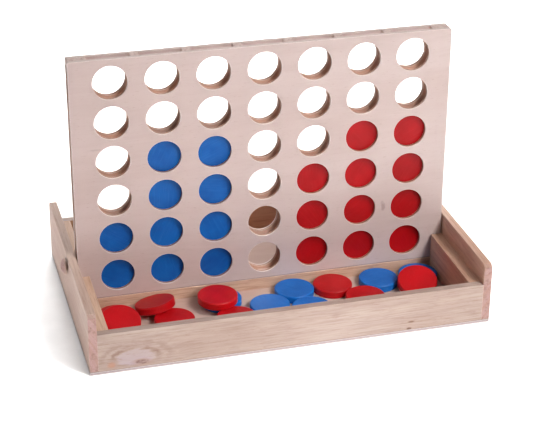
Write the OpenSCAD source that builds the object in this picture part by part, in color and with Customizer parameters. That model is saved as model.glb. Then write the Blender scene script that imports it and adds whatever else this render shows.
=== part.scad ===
// Four in a row game: an upright slotted board standing in a shallow storage box.
// Millimetres, +Z up. The origin is on the surface the box stands on, under the middle of the box.
// +X runs along the board, from the first column to the last, and -Y is the player's side.

/* [Board] */
// Distance between the middles of neighbouring columns
column_pitch = 43; // [42:0.5:46]
// Distance between the middles of neighbouring rows of view holes
row_pitch = 35; // [35:0.5:38]
// Diameter of the view holes in the two panels
hole_d = 29; // [26:0.5:31]
// Thickness of each panel
panel_t = 3.5; // [3:0.25:4]
// Gap between the panels, in which the discs stand
slot_t = 7.5; // [7.3:0.1:8]
// Width of each disc slot
slot_w = 35.5; // [35:0.25:37]
// Height of panel above the top row of holes and below the bottom row
edge_margin = 20.5; // [19:0.5:24]
// Width of panel beyond the middle of the first and last column
side_margin = 33.75; // [30:0.25:34]
// Height of the strip that closes the bottom of the board
bottom_strip_h = 3.2; // [2.5:0.1:3.5]
// Width of the strip between the last slot and the groove in the board's side edge
stile_w = 8.5; // [6:0.5:10]
// Height of the block that closes the top of the groove
stile_head_h = 5; // [4:1:12]
// Radius of the board's four corners
board_corner = 1.5; // [0.5:0.5:3]

/* [Discs] */
// Diameter of a disc
disc_d = 34.5; // [33:0.1:34.6]
// Thickness of a disc
disc_t = 6.8; // [6:0.1:7]
// Chamfer round both faces of a disc
disc_chamfer = 0.7; // [0.3:0.1:1.2]

/* [Box] */
// Length of the box along the board
box_w = 342; // [340:1:350]
// Depth of the box from front to back
box_d = 214; // [210:1:220]
// Height of the side walls above the ground
box_h = 55; // [50:1:60]
// Thickness of the bottom sheet
base_t = 3; // [3:0.5:5]
// Thickness of the four walls
wall_t = 7; // [6:0.5:7]
// Height of the front and back walls and of the cleats above the ground
ledge_z = 36.5; // [34:0.5:38]
// Thickness of the cleats that carry the board when it lies flat
cleat_t = 10.4; // [8:0.2:12]
// Gap between the front and the rear cleats, in which the board stands
cleat_gap = 15.5; // [15:0.1:17]
// Height of the rail under the board
rail_h = 10.4; // [8:0.2:12]
// Corner cut at the front and back of each side wall's top edge
wall_corner = 3; // [1:0.5:6]

/* [Pivot pins] */
// Diameter of the shank that passes through the wall into the board's groove
pin_d = 7; // [6:0.1:7.2]
// Height of the pins above the ground
pin_z = 44.5; // [44:0.5:46]
// Diameter of the domed knob outside the wall
knob_d = 14; // [12:0.5:18]
// Thickness of the knob, its dome included
knob_t = 4; // [3:0.5:6]
// Gap between the knob and the wall
knob_gap = 1.5; // [0.5:0.5:3]

/* [Hidden] */
$fn = 96;
columns = 7;
rows = 6;
// How many discs stand in each column, and whether they are blue
column_fill = [2, 4, 4, 0, 3, 4, 4];
column_blue = [true, true, true, false, false, false, false];

wood = [0.87, 0.76, 0.66];
board_wood = [0.84, 0.74, 0.70];
base_ply = [0.80, 0.77, 0.73];
blue = [0.10, 0.35, 0.68];
red = [0.76, 0.10, 0.14];

// Loose discs flat on the floor of the front tray: name, [x, y], blue
FLAT_DISCS = [
    ["tray_red_1", [-136, -32], false],
    ["tray_red_2", [-89.5, -49.6], false],
    ["tray_red_3", [-38, -59.9], false],
    ["tray_red_4", [57, -25.2], false],
    ["tray_red_5", [78.2, -53], false],
    ["tray_blue_1", [-42.9, -25.2], true],
    ["tray_blue_2", [-5.6, -46.4], true],
    ["tray_blue_3", [22.1, -25.2], true],
    ["tray_blue_4", [28, -59.7], true],
    ["tray_blue_5", [99.3, -25.2], true],
    ["tray_blue_6", [136, -25.5], true]
];
// Loose discs with one edge on the floor, leaning on a flat one:
// name, [x, y] of the middle of the lower face, tilt, direction of the raised edge
LEANING_DISCS = [
    ["leaning_red_1", [-136, -50.4], 22, 90],
    ["leaning_red_2", [-100.8, -26.6], 16, -53],
    ["leaning_red_3", [128.3, -44.8], 19.5, 76]
];
// Loose disc lying on top of tray_blue_1
STACKED_DISC = ["stacked_red", [-47.9, -31.4]];
// Spare discs flat on the floor of the rear compartment
SPARE_BLUE = [[60, 30], [97, 36], [134, 28], [62, 72], [135, 70]];
SPARE_RED = [[99, 79]];

board_w = (columns - 1) * column_pitch + 2 * side_margin;
board_t = 2 * panel_t + slot_t;
board_h = (rows - 1) * row_pitch + 2 * edge_margin;
board_z = base_t + rail_h;
divider_w = column_pitch - slot_w;
slot_edge_x = (columns - 1) / 2 * column_pitch + slot_w / 2;
disc_r = disc_d / 2;
// Clearance over the strip, between stacked discs, and round a pin's shank
rest_gap = 0.1;
stack_gap = 0.3;
bore_gap = 0.05;
// Length of pin inside the board's groove, measured from the wall's inner face
pin_reach = 6.5;
pin_chamfer = 0.8;
// Straight part of the knob's side, below its dome
knob_rim = 0.8;
wall_h = box_h - base_t;
ledge_h = ledge_z - base_t;
inner_w = box_w - 2 * wall_t;
// Amount by which a cutter passes through what it cuts
through = 1;

function column_x(c) = (c - (columns - 1) / 2) * column_pitch;
function disc_name(c, r) = str("column_", c + 1, "_disc_", r + 1);
function disc_z(r) = board_z + bottom_strip_h + rest_gap + disc_r + r * (disc_d + stack_gap);

BOX_NODES = ["bottom_panel", "front_wall", "back_wall", "left_wall", "right_wall",
    "front_left_cleat", "front_right_cleat", "rear_left_cleat", "rear_right_cleat",
    "cross_rail", "pivot_pins"];
BOARD_NODES = ["front_panel", "back_panel", "left_stile", "right_stile", "bottom_strip"];
DIVIDER_NODES = [for (i = [1 : columns - 1]) str("divider_", i)];
COLUMN_NODES = [for (c = [0 : columns - 1]) for (r = [0 : 1 : column_fill[c] - 1]) disc_name(c, r)];
TRAY_NODES = [for (d = concat(FLAT_DISCS, LEANING_DISCS)) d[0]];

// A box centred on x and y, standing on z
module block(size, x, y, z) {
    translate([x - size[0] / 2, y - size[1] / 2, z]) cube(size);
}

module bottom_panel() {
    color(base_ply) block([box_w, box_d, base_t], 0, 0, 0);
}

// The front (side = -1) or back (side = 1) wall, fitted between the side walls
module end_wall(side) {
    color(wood) block([inner_w, wall_t, ledge_h], 0, side * (box_d - wall_t) / 2, base_t);
}

// The left (side = -1) or right (side = 1) wall, with a bore for its pin
module side_wall(side) {
    outline = [
        [-box_d / 2, 0],
        [box_d / 2, 0],
        [box_d / 2, wall_h - wall_corner],
        [box_d / 2 - wall_corner, wall_h],
        [wall_corner - box_d / 2, wall_h],
        [-box_d / 2, wall_h - wall_corner]
    ];
    color(wood) difference() {
        translate([side * (box_w - wall_t) / 2 - wall_t / 2, 0, base_t])
            rotate([90, 0, 90]) linear_extrude(wall_t) polygon(outline);
        translate([side * (box_w - wall_t) / 2, 0, pin_z])
            rotate([0, 90, 0])
                cylinder(h = wall_t + 2 * through, r = pin_d / 2 + bore_gap, center = true);
    }
}

// A cleat on the inside of a side wall; side picks the wall, and end the front (-1) or rear (1)
module cleat(side, end) {
    length = (box_d - cleat_gap) / 2 - wall_t;
    color(wood) block([cleat_t, length, ledge_h],
        side * (inner_w - cleat_t) / 2, end * (cleat_gap + length) / 2, base_t);
}

// The rail that the board stands on
module cross_rail() {
    color(wood) block([inner_w, cleat_gap, rail_h], 0, 0, base_t);
}

// A turned pin along +Z from the end in the groove to the top of its domed knob
module pin() {
    shank_r = pin_d / 2;
    knob_r = knob_d / 2;
    knob_z = pin_reach + wall_t + knob_gap;
    dome_h = knob_t - knob_rim;
    dome_r = (knob_r * knob_r + dome_h * dome_h) / (2 * dome_h);
    rotate_extrude() {
        polygon([
            [0, 0],
            [shank_r - pin_chamfer, 0],
            [shank_r, pin_chamfer],
            [shank_r, knob_z],
            [knob_r, knob_z],
            [knob_r, knob_z + knob_rim],
            [0, knob_z + knob_rim]
        ]);
        intersection() {
            translate([0, knob_z + knob_t - dome_r]) circle(dome_r);
            translate([0, knob_z + knob_rim]) square([knob_r, dome_h]);
        }
    }
}

module pivot_pins() {
    color(wood) for (side = [-1, 1])
        translate([side * (inner_w / 2 - pin_reach), 0, pin_z]) rotate([0, side * 90, 0]) pin();
}

// The board seen from the front: a rectangle with round corners, standing on y = 0
module board_outline() {
    w = board_w - 2 * board_corner;
    h = board_h - 2 * board_corner;
    translate([-w / 2, 0]) square([w, board_h]);
    translate([-board_w / 2, board_corner]) square([board_w, h]);
    for (x = [-w / 2, w / 2])
        for (y = [board_corner, board_corner + h])
            translate([x, y]) circle(board_corner);
}

// An upright sheet with its back on plane y, thickness t towards -Y, made from a drawing of its front
module upright_sheet(y, t) {
    translate([0, y, board_z]) rotate([90, 0, 0]) linear_extrude(t) children();
}

// The front (side = -1) or back (side = 1) panel with its grid of view holes
module panel(side) {
    middle_y = side * (slot_t + panel_t) / 2;
    color(board_wood) difference() {
        upright_sheet(middle_y + panel_t / 2, panel_t) board_outline();
        for (c = [0 : columns - 1])
            for (r = [0 : rows - 1])
                translate([column_x(c), middle_y, board_z + edge_margin + r * row_pitch])
                    rotate([90, 0, 0]) cylinder(h = panel_t + 2 * through, d = hole_d, center = true);
    }
}

// The strip between column i and column i + 1
module divider(i) {
    color(board_wood) block([divider_w, slot_t, board_h - bottom_strip_h],
        column_x(i) - column_pitch / 2, 0, board_z + bottom_strip_h);
}

// The strip at the board's side edge, set back to leave the pin's groove, with a head that closes it
module stile(side) {
    edge_w = board_w / 2 - slot_edge_x;
    color(board_wood) upright_sheet(slot_t / 2, slot_t) intersection() {
        board_outline();
        union() {
            translate([side * (slot_edge_x + stile_w / 2) - stile_w / 2, bottom_strip_h])
                square([stile_w, board_h - bottom_strip_h]);
            translate([side * (slot_edge_x + edge_w / 2) - edge_w / 2, board_h - stile_head_h])
                square([edge_w, stile_head_h]);
        }
    }
}

module bottom_strip() {
    color(board_wood) upright_sheet(slot_t / 2, slot_t) intersection() {
        board_outline();
        translate([-board_w / 2, 0]) square([board_w, bottom_strip_h]);
    }
}

// A disc lying on z = 0 about the origin
module disc() {
    rotate_extrude() polygon([
        [0, 0],
        [disc_r - disc_chamfer, 0],
        [disc_r, disc_chamfer],
        [disc_r, disc_t - disc_chamfer],
        [disc_r - disc_chamfer, disc_t],
        [0, disc_t]
    ]);
}

// Disc r, counted from the bottom, standing in column c
module column_disc(c, r) {
    color(column_blue[c] ? blue : red)
        translate([column_x(c), disc_t / 2, disc_z(r)]) rotate([90, 0, 0]) disc();
}

module flat_disc(d) {
    color(d[2] ? blue : red) translate([d[1][0], d[1][1], base_t]) disc();
}

module leaning_disc(d) {
    tilt = d[2];
    color(red) translate([d[1][0], d[1][1], base_t + disc_r * sin(tilt)])
        rotate([0, 0, d[3]]) rotate([0, -tilt, 0]) disc();
}

module stacked_disc() {
    color(red) translate([STACKED_DISC[1][0], STACKED_DISC[1][1], base_t + disc_t + rest_gap]) disc();
}

module spare_discs(places) {
    for (p = places) translate([p[0], p[1], base_t]) disc();
}

bottom_panel();
end_wall(-1);  // front_wall
end_wall(1);  // back_wall
side_wall(-1);  // left_wall
side_wall(1);  // right_wall
cleat(-1, -1);  // front_left_cleat
cleat(1, -1);  // front_right_cleat
cleat(-1, 1);  // rear_left_cleat
cleat(1, 1);  // rear_right_cleat
cross_rail();
pivot_pins();
panel(-1);  // front_panel
panel(1);  // back_panel
stile(-1);  // left_stile
stile(1);  // right_stile
bottom_strip();
for (i = [1 : columns - 1])
    divider(i);
for (c = [0 : columns - 1])
    for (r = [0 : 1 : column_fill[c] - 1])
        column_disc(c, r);
for (d = FLAT_DISCS)
    flat_disc(d);
for (d = LEANING_DISCS)
    leaning_disc(d);
stacked_disc();
color(blue) spare_discs(SPARE_BLUE);  // spare_blue_discs
color(red) spare_discs(SPARE_RED);  // spare_red_disc
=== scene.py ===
"""Looks of the four in a row game: pale wooden board and box, and painted discs."""

import math

import bpy
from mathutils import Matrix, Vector

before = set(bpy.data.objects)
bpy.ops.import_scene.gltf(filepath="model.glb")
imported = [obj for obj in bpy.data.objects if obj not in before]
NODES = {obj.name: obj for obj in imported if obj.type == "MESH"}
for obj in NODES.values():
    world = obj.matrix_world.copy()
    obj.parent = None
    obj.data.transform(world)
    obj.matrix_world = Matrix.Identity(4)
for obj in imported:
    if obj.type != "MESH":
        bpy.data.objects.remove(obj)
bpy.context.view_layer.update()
MM = 0.001


# ---------------------------------------------------------------- helpers


def linear(red, green, blue):
    """A scene-linear colour from the usual 0 to 255 numbers."""

    def one(value):
        value /= 255
        return value / 12.92 if value <= 0.04045 else ((value + 0.055) / 1.055) ** 2.4

    return (one(red), one(green), one(blue), 1.0)


class Shader:
    """A material under construction: each method adds a node and returns its output."""

    def __init__(self, name):
        self.material = bpy.data.materials.new(name)
        self.material.use_nodes = True
        self.tree = self.material.node_tree
        self.tree.nodes.clear()
        self.surface = self.node("ShaderNodeBsdfPrincipled")
        output = self.node("ShaderNodeOutputMaterial")
        self.tree.links.new(self.surface.outputs["BSDF"], output.inputs["Surface"])
        self.coords = self.node("ShaderNodeTexCoord")

    def node(self, kind, **settings):
        made = self.tree.nodes.new(kind)
        for key, value in settings.items():
            setattr(made, key, value)
        return made

    def put(self, socket, value):
        if isinstance(value, bpy.types.NodeSocket):
            self.tree.links.new(value, socket)
        else:
            socket.default_value = value

    def math(self, operation, a, b=0.0, c=0.0, clamp=False):
        made = self.node("ShaderNodeMath", operation=operation, use_clamp=clamp)
        for socket, value in zip(made.inputs, (a, b, c)):
            self.put(socket, value)
        return made.outputs[0]

    def vector(self, operation, a, b=(0.0, 0.0, 0.0), scale=None):
        made = self.node("ShaderNodeVectorMath", operation=operation)
        self.put(made.inputs[0], a)
        self.put(made.inputs[1], b)
        if scale is not None:
            self.put(made.inputs["Scale"], scale)
        return made.outputs["Value" if operation in ("LENGTH", "DOT_PRODUCT") else "Vector"]

    def split(self, value):
        made = self.node("ShaderNodeSeparateXYZ")
        self.put(made.inputs[0], value)
        return made.outputs[0], made.outputs[1], made.outputs[2]

    def join(self, x, y, z):
        made = self.node("ShaderNodeCombineXYZ")
        for socket, value in zip(made.inputs, (x, y, z)):
            self.put(socket, value)
        return made.outputs[0]

    def noise(self, where, stretch=(1, 1, 1), detail=3.0, rough=0.5, twist=0.0, colour=False):
        """Noise with features about 1 / stretch metres long on each axis."""
        made = self.node("ShaderNodeTexNoise")
        self.put(made.inputs["Vector"], self.vector("MULTIPLY", where, stretch))
        self.put(made.inputs["Scale"], 1.0)
        self.put(made.inputs["Detail"], detail)
        self.put(made.inputs["Roughness"], rough)
        self.put(made.inputs["Distortion"], twist)
        return made.outputs["Color" if colour else "Fac"]

    def line_noise(self, value, scale, detail=2.0, rough=0.5):
        """Noise along one number."""
        made = self.node("ShaderNodeTexNoise", noise_dimensions="1D")
        self.put(made.inputs["W"], value)
        self.put(made.inputs["Scale"], scale)
        self.put(made.inputs["Detail"], detail)
        self.put(made.inputs["Roughness"], rough)
        return made.outputs["Fac"]

    def ramp(self, value, low, high, at_low=0.0, at_high=1.0):
        """A smooth step from at_low to at_high while value goes from low to high."""
        made = self.node("ShaderNodeMapRange", interpolation_type="SMOOTHSTEP")
        for socket, given in zip(made.inputs, (value, low, high, at_low, at_high)):
            self.put(socket, given)
        return made.outputs[0]

    def mix(self, share, a, b, blend="MIX"):
        made = self.node("ShaderNodeMix", data_type="RGBA", blend_type=blend)
        self.put(made.inputs[0], share)
        self.put(made.inputs[6], a)
        self.put(made.inputs[7], b)
        return made.outputs[2]

    def times(self, a, b):
        return self.math("MULTIPLY", a, b)

    def oval(self, a, b, centre, half_sizes):
        """Distance from centre in the plane of a and b, 1 on an oval of those half sizes."""
        offsets = [
            self.math("DIVIDE", self.math("SUBTRACT", value, middle), half)
            for value, middle, half in zip((a, b), centre, half_sizes)
        ]
        return self.vector("LENGTH", self.join(offsets[0], 0.0, offsets[1]))

    def edges(self, radius):
        """1 on the outer edges and corners, 0 on the open faces."""
        soft = self.node("ShaderNodeBevel", samples=4)
        self.put(soft.inputs["Radius"], radius)
        sharp = self.node("ShaderNodeNewGeometry").outputs["Normal"]
        turn = self.vector("DOT_PRODUCT", soft.outputs[0], sharp)
        return self.ramp(turn, 0.995, 0.86)

    def finish(self, colour, roughness, height=None, depth=0.0, **values):
        self.put(self.surface.inputs["Base Color"], colour)
        self.put(self.surface.inputs["Roughness"], roughness)
        for key, value in values.items():
            self.put(self.surface.inputs[key.replace("_", " ")], value)
        if height is not None:
            bump = self.node("ShaderNodeBump")
            self.put(bump.inputs["Strength"], 1.0)
            self.put(bump.inputs["Distance"], depth)
            self.put(bump.inputs["Height"], height)
            self.put(self.surface.inputs["Normal"], bump.outputs[0])
        return self.material


def along_grain(shader, axis):
    """Place in the piece with x along its grain, and how much the surface is end grain."""
    x, y, z = shader.split(shader.coords.outputs["Object"])
    nx, ny, nz = shader.split(shader.coords.outputs["Normal"])
    turned = {"x": (x, y, z), "y": (y, x, z), "z": (z, x, y)}[axis]
    facing = {"x": nx, "y": ny, "z": nz}[axis]
    end = shader.ramp(shader.math("ABSOLUTE", facing), 0.55, 0.85)
    return shader.join(*turned), end


# ---------------------------------------------------------------- solid wood

PORES = linear(148, 106, 92)
KNOT_PALE = linear(182, 164, 170)
KNOT_HALO = linear(168, 134, 120)
KNOT_HEART = linear(118, 84, 70)
END_DOTS = linear(128, 88, 80)
END_BLOTCH = linear(120, 84, 78)
RUBBED_WOOD = linear(240, 222, 206)
GRIME = linear(150, 116, 96)
# Multiplies the wood's colour on the side that faces the front of the game: painted warm bounce
# light and shade on the back wall's inner face, which the board keeps in shadow, with some of the
# wood's own warmth.
PAINTED_WARM_SHADE = (1.45, 0.98, 0.56, 1.0)
# Rings round a knot: distance from its middle in knot radii, width and strength.
KNOT_RINGS = ((1.12, 0.24, 0.75), (1.7, 0.25, 0.35))
SANDED_WEAR = 0.9 * MM
WOOD_SPECULAR = 0.42


def solid_wood(name, axis, seed, tones, pith=(0.045, -0.11), knots=(), flecks=(), warm_shade_inside=0.0):
    """Fine sanded rubberwood: growth bands, streaks, short open pores and darker end grain.

    tones are the light, middle and dark wood colours and the end grain colour. pith is
    where the middle of the trunk was, across the grain. A knot is its place on the face
    (along, up), half length and half height, then the same four of its dark heart. A
    fleck is those four, a strength and a colour. Lengths are in metres. The last argument
    is how strongly the side towards the front gets a painted warm shade.
    """
    s = Shader(name)
    place, end = along_grain(s, axis)
    light, middle, dark, end_colour = tones
    at = s.vector("ADD", place, (seed * 1.37, seed * 0.71, seed * 0.43))
    wander = s.noise(at, (5, 13, 13), 2.0, 0.5, colour=True)
    wander = s.vector("SUBTRACT", wander, (0.5, 0.5, 0.5))
    wander = s.vector("MULTIPLY", wander, (0, 0.009, 0.009))
    bent = s.vector("ADD", place, wander)

    along, across, up = s.split(bent)
    from_pith = s.join(
        0.0, s.math("SUBTRACT", across, pith[0]), s.math("SUBTRACT", up, pith[1])
    )
    ring = s.vector("LENGTH", from_pith)

    def ellipse(centre_along, centre_up, half_length, half_height, ragged):
        """Distance from the middle of an oval mark, about 1 along its ragged outline."""
        reach = s.oval(along, up, (centre_along, centre_up), (half_length, half_height))
        wobble = s.noise(at, (120, 240, 240), 3.0, 0.6)
        return s.math("ADD", reach, s.times(s.math("SUBTRACT", wobble, 0.5), ragged))

    knot_reach = [ellipse(*knot[:4], 0.65) for knot in knots]
    for reach, knot in zip(knot_reach, knots):
        lift = s.math("EXPONENT", s.times(s.times(reach, reach), -0.3))
        ring = s.math("ADD", ring, s.times(lift, knot[3] * 1.6))

    bands = s.ramp(s.line_noise(ring, 260, 3.0, 0.62), 0.36, 0.68)
    fine_bands = s.ramp(s.line_noise(ring, 900, 1.0), 0.42, 0.75)
    long_streaks = s.ramp(s.noise(at, (24, 330, 330), 4.0, 0.62, 0.25), 0.45, 0.72)
    streaks = s.ramp(s.noise(at, (36, 620, 620), 3.0, 0.6, 0.3), 0.47, 0.7)
    patches = s.noise(at, (9, 34, 34), 3.0, 0.55)
    fibre = s.noise(at, (90, 2300, 2300), 2.0, 0.6)
    pore = s.ramp(s.noise(at, (170, 2100, 2100), 1.5, 0.5), 0.66, 0.74)
    long_pore = s.ramp(s.noise(at, (92, 1000, 1000), 2.0, 0.55), 0.63, 0.7)
    pores = s.math("MAXIMUM", pore, s.times(long_pore, 0.8))
    pores = s.times(pores, s.ramp(patches, 0.34, 0.6, 0.35, 1.0))

    colour = s.mix(s.ramp(patches, 0.32, 0.68), light, middle)
    colour = s.mix(s.times(bands, 0.15), colour, dark)
    colour = s.mix(s.times(fine_bands, 0.14), colour, dark)
    colour = s.mix(s.times(long_streaks, 0.30), colour, dark)
    colour = s.mix(s.times(streaks, 0.42), colour, dark)
    colour = s.mix(s.times(fibre, 0.14), colour, light)
    for reach, knot in zip(knot_reach, knots):
        pale = s.times(s.ramp(reach, 1.05, 0.75), s.ramp(bands, 0.0, 1.0, 0.75, 0.35))
        colour = s.mix(pale, colour, KNOT_PALE)
        broken = s.ramp(s.noise(at, (60, 130, 130), 3.0, 0.6), 0.4, 0.58, 0.25, 1.0)
        upper = s.ramp(s.math("SUBTRACT", up, knot[1]), -0.006, 0.006, 0.15, 1.0)
        broken = s.times(broken, upper)
        for where, width, strength in KNOT_RINGS:
            off = s.math("ABSOLUTE", s.math("SUBTRACT", reach, where))
            arc = s.times(s.ramp(off, width, 0.03, 0.0, strength), broken)
            colour = s.mix(arc, colour, dark)
        core = ellipse(*knot[4:], 1.3)
        colour = s.mix(s.ramp(core, 2.2, 1.1, 0.0, 0.5), colour, KNOT_HALO)
        curl = s.ramp(s.noise(at, (230, 420, 420), 2.0), 0.42, 0.56, 0.3, 1.0)
        curl = s.times(curl, s.ramp(core, 1.25, 0.75, 0.0, 0.7))
        colour = s.mix(curl, colour, KNOT_HEART)
    for *mark, strength, mark_colour in flecks:
        reach = ellipse(*mark, 0.7)
        colour = s.mix(s.ramp(reach, 1.2, 0.4, 0.0, strength), colour, mark_colour)
    colour = s.mix(s.times(pores, 0.55), colour, PORES)

    # painted warm shade and bounce light on the front-facing side, the back wall's inner face
    if warm_shade_inside:
        forward = s.ramp(s.split(s.coords.outputs["Normal"])[1], -0.4, -0.7, 0.0, warm_shade_inside)
        colour = s.mix(forward, colour, PAINTED_WARM_SHADE, "MULTIPLY")

    ends = s.mix(s.ramp(bands, 0.1, 0.9, 0.0, 0.4), end_colour, dark)
    dots = s.ramp(s.noise(at, (300, 2600, 2600), 1.0), 0.5, 0.72)
    ends = s.mix(s.times(dots, 0.5), ends, END_DOTS)
    blotch = s.ramp(s.noise(at, (200, 330, 330), 4.0, 0.65), 0.48, 0.7, 0.0, 0.55)
    ends = s.mix(blotch, ends, END_BLOTCH)
    colour = s.mix(s.times(end, 0.9), colour, ends)

    worn_patches = s.ramp(s.noise(at, (70, 220, 220), 3.0), 0.35, 0.62)
    pale_edge = s.times(s.edges(SANDED_WEAR), worn_patches)
    colour = s.mix(s.times(pale_edge, 0.35), colour, RUBBED_WOOD)
    grime = s.ramp(s.noise(at, (21, 34, 34), 4.0, 0.6), 0.56, 0.78)
    colour = s.mix(s.times(grime, 0.12), colour, GRIME)

    roughness = s.math("ADD", 0.47, s.times(fibre, 0.16))
    roughness = s.math("ADD", roughness, s.times(end, 0.14))
    height = s.math("SUBTRACT", s.times(fibre, 0.45), pores)
    height = s.math("SUBTRACT", height, s.times(streaks, 0.25))
    return s.finish(colour, roughness, height, 0.09 * MM, Specular_IOR_Level=WOOD_SPECULAR)


# ---------------------------------------------------------------- plywood

GLUE = linear(96, 56, 36)
# Painted highlight on the outer side of the board's hole walls and edges, where the rims catch the
# light.
RIM_HIGHLIGHT = linear(230, 213, 206)
# Painted shadow colour for the line where the board stands on the rail.
FOOT_SHADOW_LINE = linear(96, 58, 42)
# Painted shadow colour for the crease where the walls stand on the base.
SEAM_SHADOW = linear(122, 92, 84)
MARK = linear(122, 92, 84)
# Paler colour for the sheets' rounded edges: partly rubbed wear, partly a painted highlight on the
# rims.
RUBBED_PLY_AND_HIGHLIGHT = linear(242, 230, 224)
RUB = linear(176, 140, 130)
PLY_PALE_EDGE_WIDTH = 1.1 * MM
# Where the glue lines are, as shares of the sheet's thickness from its inner face.
GLUE_LINES = (0.14, 0.46)

# The board stands across y = 0; its inner faces are this far from there.
PANEL_INNER_Y = 3.75 * MM
PANEL_THICKNESS = 3.5 * MM
INSIDE_MARGIN = 0.3 * MM
# The warm tint inside the slots, partly the raw inner faces' own colour and partly painted shade,
# fades out upwards between these heights, where the light reaches in.
SLOT_TINT_AND_SHADE_FADE_Z = (222 * MM, 212 * MM)
# The painted shadow line along the board's foot, where it meets the rail, fades out between these
# heights.
FOOT_SHADOW_Z = (14.4 * MM, 13.8 * MM)
# Beyond these the edge belongs to the board's outline and not to a hole.
BOARD_SIDE_X, BOARD_TOP_Z, BOARD_FOOT_Z = 161 * MM, 227.5 * MM, 15 * MM
# Painted shade: the board darkens from this far right of the middle to as far left, standing in
# for the key light falling off towards the left.
PAINTED_SHADE_REACH_X = 170 * MM

BASE_THICKNESS = 3 * MM
# Beyond these the base shows outside the walls, with a painted shadow line on top where the walls
# stand on it.
BASE_RIM_X, BASE_RIM_Y = 170.4 * MM, 106.4 * MM
SEAM_SHADOW_Z = (2.3 * MM, 2.65 * MM)


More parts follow.
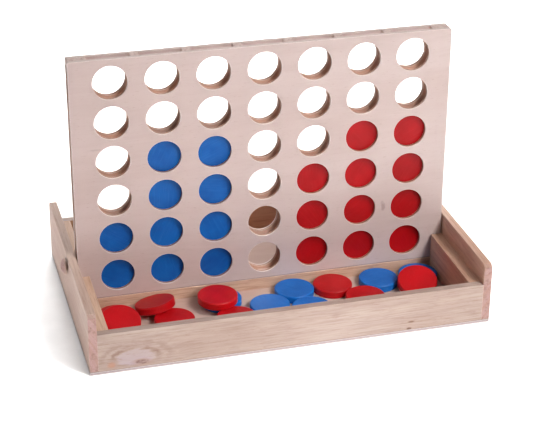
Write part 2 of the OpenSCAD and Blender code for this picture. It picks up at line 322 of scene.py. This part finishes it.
def plywood(
    name, seed, light, middle, dark, bottom, sheet, core, cut, upright=True, rim_light=0.0,
    marks=(),
):
    """Plywood with a faint figured face across x and up, and three plies at its edges.

    bottom and sheet are where the sheet starts and how thick it is, along its thin axis
    (y for the board's upright panels, z for the base). cut is the colour of the drilled
    edges, and rim_light how far the board's outer edges stay lighter than those. A mark
    is its place on the face (x, second axis), two half sizes and a strength.
    """
    s = Shader(name)
    x, y, z = s.split(s.coords.outputs["Object"])
    nx, ny, nz = s.split(s.coords.outputs["Normal"])
    thin, second = (y, z) if upright else (z, y)
    face = s.ramp(s.math("ABSOLUTE", ny if upright else nz), 0.25, 0.5)
    at = s.vector("ADD", s.join(x, second, thin), (seed * 0.83, seed * 0.47, seed * 0.29))
    swirl = s.vector("SUBTRACT", s.noise(at, (6, 9, 9), 2.0, colour=True), (0.5, 0.5, 0.5))
    bent = s.vector("ADD", at, s.vector("MULTIPLY", swirl, (0, 0.03, 0)))

    clouds = s.noise(bent, (7, 24, 2), 4.0, 0.55)
    figure = s.ramp(s.noise(bent, (9, 120, 2), 4.0, 0.6, 0.4), 0.42, 0.74)
    fine = s.noise(bent, (34, 620, 4), 3.0, 0.62)
    fibre = s.noise(bent, (110, 2300, 4), 2.0, 0.6)
    pores = s.ramp(s.noise(bent, (230, 1900, 4), 1.5, 0.5), 0.67, 0.75)

    colour = s.mix(s.ramp(clouds, 0.34, 0.66), light, middle)
    if upright:
        # painted shade, darker towards the left where less of the key light reaches
        colour = s.mix(s.ramp(x, -PAINTED_SHADE_REACH_X, PAINTED_SHADE_REACH_X, 0.28, 0.0), colour, dark)
        # warm tint on the panels' inner faces: partly their raw colour, partly painted shade deep
        # in the slots
        inside = s.math("LESS_THAN", s.math("ABSOLUTE", thin), bottom + INSIDE_MARGIN)
        inside = s.times(inside, s.ramp(z, *SLOT_TINT_AND_SHADE_FADE_Z, 0.0, 0.6))
        colour = s.mix(inside, colour, cut)
        # painted shadow along the board's foot
        colour = s.mix(s.ramp(z, *FOOT_SHADOW_Z, 0.0, 0.85), colour, FOOT_SHADOW_LINE)
    colour = s.mix(s.times(figure, 0.15), colour, dark)
    colour = s.mix(s.ramp(fine, 0.5, 0.8, 0.0, 0.16), colour, dark)
    colour = s.mix(s.times(fibre, 0.12), colour, light)
    colour = s.mix(s.times(pores, 0.3), colour, core)

    depth = s.math("DIVIDE", s.math("SUBTRACT", s.math("ABSOLUTE", thin), bottom), sheet)
    middle_ply = s.times(s.ramp(depth, 0.3, 0.36), s.ramp(depth, 0.7, 0.64))
    glue_a, glue_b = (
        s.ramp(s.math("ABSOLUTE", s.math("SUBTRACT", depth, line)), 0.10, 0.02)
        for line in GLUE_LINES
    )
    glue = s.math("MAXIMUM", glue_a, glue_b)
    lines = s.noise(at, (420, 420, 2600), 3.0, 0.6)
    edge = s.mix(s.ramp(lines, 0.3, 0.75), cut, core)
    edge = s.mix(s.times(middle_ply, 0.45), edge, core)
    edge = s.mix(s.times(glue, 0.75), edge, GLUE)
    if upright:
        # painted highlight on the outer side of the hole walls
        edge = s.mix(s.ramp(depth, 0.52, 0.60, 0.0, 0.9), edge, RIM_HIGHLIGHT)
        outer = s.math("GREATER_THAN", s.math("ABSOLUTE", x), BOARD_SIDE_X)
        outer = s.math("MAXIMUM", outer, s.math("GREATER_THAN", z, BOARD_TOP_Z))
        outer = s.math("MAXIMUM", outer, s.math("LESS_THAN", z, BOARD_FOOT_Z))
        edge = s.mix(s.times(outer, rim_light), edge, light)
    for mark_x, mark_second, half_x, half_second, strength in marks:
        reach = s.oval(x, second, (mark_x, mark_second), (half_x, half_second))
        ragged = s.times(s.math("SUBTRACT", s.noise(at, (300, 300, 300)), 0.5), 1.2)
        mark = s.ramp(s.math("ADD", reach, ragged), 1.1, 0.5, 0.0, strength)
        colour = s.mix(mark, colour, MARK)
    colour = s.mix(face, edge, colour)

    # paler edges: partly rubbed wear, partly a painted highlight along the rounded rims
    pale_edge = s.times(s.edges(PLY_PALE_EDGE_WIDTH), s.ramp(s.noise(at, (90, 90, 90), 3.0), 0.2, 0.5))
    colour = s.mix(s.times(pale_edge, 0.7), colour, RUBBED_PLY_AND_HIGHLIGHT)
    if not upright:
        past_y = s.math("GREATER_THAN", s.math("ABSOLUTE", y), BASE_RIM_Y)
        past_x = s.math("GREATER_THAN", s.math("ABSOLUTE", x), BASE_RIM_X)
        outside = s.math("MAXIMUM", past_y, past_x)
        # painted shadow in the crease between the walls and the base
        seam_shadow = s.times(s.ramp(z, *SEAM_SHADOW_Z, 0.0, 0.7), outside)
        colour = s.mix(seam_shadow, colour, SEAM_SHADOW)
    rub = s.ramp(s.noise(at, (15, 19, 15), 5.0, 0.62), 0.55, 0.8)
    colour = s.mix(s.times(rub, 0.1), colour, RUB)

    roughness = s.math("ADD", 0.44, s.times(fine, 0.18))
    height = s.math("SUBTRACT", s.math("ADD", s.times(fibre, 0.4), s.times(lines, 0.3)), pores)
    return s.finish(colour, roughness, height, 0.05 * MM, Specular_IOR_Level=WOOD_SPECULAR)


# ---------------------------------------------------------------- paint

FULL_TURN = 6.283
PAINT_PALE_EDGE_WIDTH = 0.9 * MM
PAINT_SPECULAR = 0.26


def satin_paint(name, base, deep, pale, spin_axis):
    """Satin paint on turned wood: the grain just shows through, and the edges are paler, partly
    rubbed paint and partly a painted highlight.

    Each disc has its own grain direction, turned about spin_axis.
    """
    s = Shader(name)
    chance = s.node("ShaderNodeObjectInfo").outputs["Random"]
    spin = s.node("ShaderNodeVectorRotate", rotation_type="AXIS_ANGLE")
    s.put(spin.inputs["Vector"], s.coords.outputs["Object"])
    s.put(spin.inputs["Axis"], spin_axis)
    s.put(spin.inputs["Angle"], s.times(chance, FULL_TURN))
    at = s.vector("ADD", spin.outputs[0], s.join(chance, s.times(chance, 3.7), chance))

    grain = s.noise(at, (55, 1500, 1500), 3.0, 0.6)
    wide = s.noise(at, (20, 330, 330), 2.0, 0.5)
    pits = s.ramp(s.noise(at, (260, 2400, 2400), 1.5), 0.67, 0.75)
    brush = s.noise(at, (45, 45, 45), 3.0, 0.55)
    scuff = s.ramp(s.noise(at, (240, 90, 160), 5.0, 0.7, 1.2), 0.61, 0.72)

    colour = s.mix(s.ramp(brush, 0.3, 0.7), base, deep)
    colour = s.mix(s.ramp(wide, 0.45, 0.75, 0.0, 0.22), colour, deep)
    colour = s.mix(s.ramp(grain, 0.5, 0.8, 0.0, 0.25), colour, pale)
    colour = s.mix(s.times(pits, 0.45), colour, deep)
    colour = s.mix(s.times(scuff, 0.14), colour, pale)
    # paler rounded edges: rubbed paint and a painted highlight
    pale_edge = s.times(s.edges(PAINT_PALE_EDGE_WIDTH), s.ramp(s.noise(at, (130, 130, 130), 4.0), 0.36, 0.6))
    colour = s.mix(s.times(pale_edge, 0.4), colour, pale)
    shade = s.math("ADD", 0.93, s.times(chance, 0.1))
    colour = s.mix(1.0, colour, s.join(shade, shade, shade), "MULTIPLY")

    roughness = s.math("ADD", 0.36, s.times(brush, 0.12))
    roughness = s.math("ADD", roughness, s.times(scuff, 0.16))
    height = s.math("ADD", s.times(grain, 0.5), s.times(wide, 0.6))
    height = s.math("SUBTRACT", height, s.times(pits, 0.7))
    return s.finish(colour, roughness, height, 0.06 * MM, Specular_IOR_Level=PAINT_SPECULAR)


# ---------------------------------------------------------------- the game's own pieces

# Light, middle and dark wood, then the end grain.
WALL_TONES = (
    linear(191, 172, 161),
    linear(178, 155, 143),
    linear(139, 106, 93),
    linear(186, 150, 146),
)
# Lighter than the walls' wood: painted light on the left wall's outer face, which the key light
# leaves in shade.
PAINTED_LIGHT_SIDE_TONES = (
    linear(212, 186, 171),
    linear(198, 166, 149),
    linear(168, 126, 108),
    linear(184, 148, 144),
)
# Lighter than the walls' wood: painted light on the right wall's inner face, which lies in shade.
PAINTED_LIGHT_RIGHT_TONES = (
    linear(219, 187, 168),
    linear(206, 166, 144),
    linear(166, 116, 94),
    linear(176, 142, 138),
)
CLEAT_TONES = (
    linear(214, 180, 156),
    linear(198, 158, 134),
    linear(152, 104, 82),
    linear(176, 132, 116),
)
# Lighter than the right cleats' wood: painted light on the left cleats, where the key light falls.
PAINTED_LIGHT_CLEAT_TONES = (
    linear(224, 196, 172),
    linear(212, 178, 152),
    linear(170, 124, 98),
    linear(188, 148, 132),
)
BOARD_TONES = (
    linear(230, 210, 200),
    linear(218, 192, 180),
    linear(184, 148, 132),
    linear(216, 194, 186),
)

FRONT_KNOTS = ((-0.1335, 0.0115, 0.0165, 0.0082, -0.1286, 0.0068, 0.0050, 0.0020),)
FRONT_FLECKS = (
    (0.1005, 0.0108, 0.0032, 0.0011, 0.75, linear(112, 74, 56)),
    (0.0991, 0.0046, 0.0026, 0.0012, 0.9, linear(104, 68, 50)),
    (0.0343, 0.0272, 0.0042, 0.0030, 0.22, linear(150, 112, 96)),
    (-0.1535, 0.0070, 0.0040, 0.0030, 0.45, linear(190, 120, 84)),
)

WOODEN = {
    "front_wall": solid_wood(
        "front_wood", "x", 1, WALL_TONES, (0.05, -0.12), FRONT_KNOTS, FRONT_FLECKS
    ),
    "back_wall": solid_wood("back_wood", "x", 2, WALL_TONES, (-0.06, 0.14), warm_shade_inside=0.8),
    "left_wall": solid_wood("left_wood", "y", 3, PAINTED_LIGHT_SIDE_TONES, (-0.27, -0.03)),
    "right_wall": solid_wood("right_wood", "y", 4, PAINTED_LIGHT_RIGHT_TONES, (0.25, -0.05)),
    "front_left_cleat": solid_wood("cleat_wood_a", "y", 5, PAINTED_LIGHT_CLEAT_TONES, (-0.22, -0.02)),
    "front_right_cleat": solid_wood("cleat_wood_b", "y", 6, CLEAT_TONES, (0.21, -0.04)),
    "rear_left_cleat": solid_wood("cleat_wood_c", "y", 7, PAINTED_LIGHT_CLEAT_TONES, (-0.24, 0.07)),
    "rear_right_cleat": solid_wood("cleat_wood_d", "y", 8, CLEAT_TONES, (0.23, 0.06)),
    "cross_rail": solid_wood("rail_wood", "x", 9, CLEAT_TONES, (0.04, -0.05)),
    "pivot_pins": solid_wood("pin_wood", "x", 10, PAINTED_LIGHT_SIDE_TONES, (0.0, 0.06)),
    "left_stile": solid_wood("stile_wood_a", "z", 11, BOARD_TONES, (-0.20, 0.03)),
    "right_stile": solid_wood("stile_wood_b", "z", 12, BOARD_TONES, (0.20, 0.03)),
    "bottom_strip": solid_wood("strip_wood", "x", 13, BOARD_TONES, (0.03, 0.08)),
}
for number in range(1, 7):
    WOODEN[f"divider_{number}"] = solid_wood(
        f"divider_wood_{number}", "z", 13 + number, BOARD_TONES, (0.01 * number, -0.05)
    )

PANEL = dict(
    light=linear(206, 187, 182),
    middle=linear(199, 178, 172),
    dark=linear(178, 149, 141),
    core=linear(140, 82, 48),
    cut=linear(196, 138, 98),
    bottom=PANEL_INNER_Y,
    sheet=PANEL_THICKNESS,
    rim_light=0.85,
)
BASE = dict(
    light=linear(212, 188, 176),
    middle=linear(196, 164, 150),
    dark=linear(168, 130, 116),
    core=linear(186, 170, 170),
    cut=linear(214, 203, 206),
    bottom=0.0,
    sheet=BASE_THICKNESS,
    upright=False,
)
FRONT_MARKS = (
    (0.1075, 0.0689, 0.0022, 0.0042, 0.4),
    (0.1065, 0.0735, 0.0016, 0.0022, 0.25),
    (-0.1440, 0.1515, 0.0060, 0.0010, 0.2),
)
SHEETS = {
    "front_panel": plywood("board_front_ply", 3, marks=FRONT_MARKS, **PANEL),
    "back_panel": plywood("board_back_ply", 8, **PANEL),
    "bottom_panel": plywood("base_ply", 5, **BASE),
}

# Base, deeper and paler paint.
BLUE = (linear(8, 93, 174), linear(6, 80, 157), linear(56, 130, 202))
# Lighter copies for the discs lying in the tray: painted light on their tops, which face the
# light.
LIT_PALER_BLUE = (linear(14, 110, 200), linear(10, 98, 184), linear(76, 150, 218))
RED = (linear(180, 6, 16), linear(162, 4, 12), linear(206, 54, 60))
LIT_BRIGHTER_RED = (linear(197, 8, 21), linear(180, 6, 15), linear(216, 58, 64))
FACING_FRONT, FACING_UP = (0.0, 1.0, 0.0), (0.0, 0.0, 1.0)
PAINT = {
    ("blue", "board"): satin_paint("blue_standing", *BLUE, FACING_FRONT),
    ("red", "board"): satin_paint("red_standing", *RED, FACING_FRONT),
    ("blue", "tray"): satin_paint("blue_lying_lit", *LIT_PALER_BLUE, FACING_UP),
    ("red", "tray"): satin_paint("red_lying_lit", *LIT_BRIGHTER_RED, FACING_UP),
}


WELD_DISTANCE = 0.002 * MM
SHARP_ANGLE = math.radians(28)
WOOD_ROUNDING, SHEET_ROUNDING, DISC_ROUNDING = 0.6 * MM, 0.35 * MM, 0.45 * MM


def rounded(piece, width):
    """Welds the CAD mesh and rounds its sharp edges inwards, as sanding does."""
    mesh = piece.data
    if "custom_normal" in mesh.attributes:
        mesh.attributes.remove(mesh.attributes["custom_normal"])
    mesh.polygons.foreach_set("use_smooth", [True] * len(mesh.polygons))
    weld = piece.modifiers.new("weld", "WELD")
    weld.merge_threshold = WELD_DISTANCE
    bevel = piece.modifiers.new("sanded edges", "BEVEL")
    bevel.width = width
    bevel.segments = 3
    bevel.limit_method = "ANGLE"
    bevel.angle_limit = SHARP_ANGLE
    bevel.harden_normals = True
    bevel.miter_outer = "MITER_ARC"


def dress(name, material, width):
    """Gives a CAD piece its material, rounded edges and material slot."""
    piece = NODES[name]
    piece.data.materials.clear()
    piece.data.materials.append(material)
    rounded(piece, width)


for name, material in WOODEN.items():
    dress(name, material, WOOD_ROUNDING)
for name, material in SHEETS.items():
    dress(name, material, SHEET_ROUNDING)
LAST_BLUE_COLUMN = 3
for name in NODES:
    if name in WOODEN or name in SHEETS:
        continue
    if name.startswith("column"):
        column = int(name.split("_")[1])
        colour, where = ("blue" if column <= LAST_BLUE_COLUMN else "red"), "board"
    else:
        colour, where = ("blue" if "blue" in name else "red"), "tray"
    dress(name, PAINT[colour, where], DISC_ROUNDING)


# ---------------------------------------------------------------- floor, light and camera


FLOOR_REACH = 6.0


def pale_floor():
    """A wide, almost white floor with a faint speckle."""
    s = Shader("pale_floor")
    at = s.coords.outputs["Object"]
    speck = s.noise(at, (60, 60, 60), 4.0, 0.6)
    colour = s.mix(s.ramp(speck, 0.3, 0.7), (0.93, 0.93, 0.93, 1), (0.9, 0.9, 0.9, 1))
    material = s.finish(colour, 0.85, speck, 0.05 * MM, Specular_IOR_Level=0.1)
    mesh = bpy.data.meshes.new("floor")
    signs = ((-1, -1), (1, -1), (1, 1), (-1, 1))
    corners = [(x * FLOOR_REACH, y * FLOOR_REACH, 0) for x, y in signs]
    mesh.from_pydata(corners, [], [(0, 1, 2, 3)])
    mesh.materials.append(material)
    floor = bpy.data.objects.new("floor", mesh)
    bpy.context.scene.collection.objects.link(floor)
    return floor


def area_light(
    name, towards, distance, size, power, colour=(1, 1, 1), target=(0, 0, 0.08), spread=180
):
    """A round soft light at a distance from target, in the direction towards.

    size and distance are in metres, power in watts and spread in degrees.
    """
    data = bpy.data.lights.new(name, "AREA")
    data.shape = "DISK"
    data.size = size
    data.energy = power
    data.color = colour
    data.spread = math.radians(spread)
    lamp = bpy.data.objects.new(name, data)
    direction = Vector(towards).normalized()
    lamp.location = Vector(target) + direction * distance
    lamp.rotation_mode = "QUATERNION"
    lamp.rotation_quaternion = direction.to_track_quat("Z", "Y")
    bpy.context.scene.collection.objects.link(lamp)


def floor_light(floor, strength):
    """Light that only reaches the floor, so that it stays pale all round the game."""
    data = bpy.data.lights.new("floor light", "SUN")
    data.energy = strength
    data.angle = math.radians(30)
    lamp = bpy.data.objects.new("floor light", data)
    only_floor = bpy.data.collections.new("lit by the floor light")
    only_floor.objects.link(floor)
    lamp.light_linking.receiver_collection = only_floor
    bpy.context.scene.collection.objects.link(lamp)


floor_light(pale_floor(), strength=0.9)
area_light(
    "key", (0.55, -0.78, 1.0), distance=2.0, size=0.66, power=24.5, colour=(1.0, 0.99, 0.975)
)
area_light(
    "tray light", (0.3, -1.0, 0.62), distance=1.2, size=0.4, power=0.19,
    target=(0.0, 0.0, -0.01), spread=25,
)
area_light(
    "rear light", (0.0, 0.15, 1.0), distance=1.5, size=0.8, power=16.0,
    target=(0.1, 1.0, 0.0), spread=62,
)
area_light("left card", (-1.0, 0.12, 0.2), distance=1.2, size=0.7, power=0.7)
area_light("left fill", (-0.8, -0.1, 0.9), distance=1.5, size=0.6, power=1.3)
area_light("back card", (0.15, 1.0, 0.5), distance=1.6, size=1.2, power=7.0)

WORLD_STRENGTH = 0.13
world = bpy.data.worlds.new("studio")
world.use_nodes = True
world.node_tree.nodes["Background"].inputs["Color"].default_value = (1, 1, 1, 1)
world.node_tree.nodes["Background"].inputs["Strength"].default_value = WORLD_STRENGTH
bpy.context.scene.world = world
bpy.context.scene.view_settings.view_transform = "Standard"

# The photograph's viewpoint: metres, degrees and millimetres.
CAMERA_PLACE = (-0.31889, -1.19009, 0.68410)
CAMERA_TURN = (63.638, -0.227, -15.052)
CAMERA_LENS, CAMERA_SENSOR = 107.55, 36
camera_data = bpy.data.cameras.new("camera")
camera_data.lens = CAMERA_LENS
camera_data.sensor_width = CAMERA_SENSOR
camera = bpy.data.objects.new("camera", camera_data)
camera.location = CAMERA_PLACE
camera.rotation_euler = [math.radians(angle) for angle in CAMERA_TURN]
bpy.context.scene.collection.objects.link(camera)
bpy.context.scene.camera = camera

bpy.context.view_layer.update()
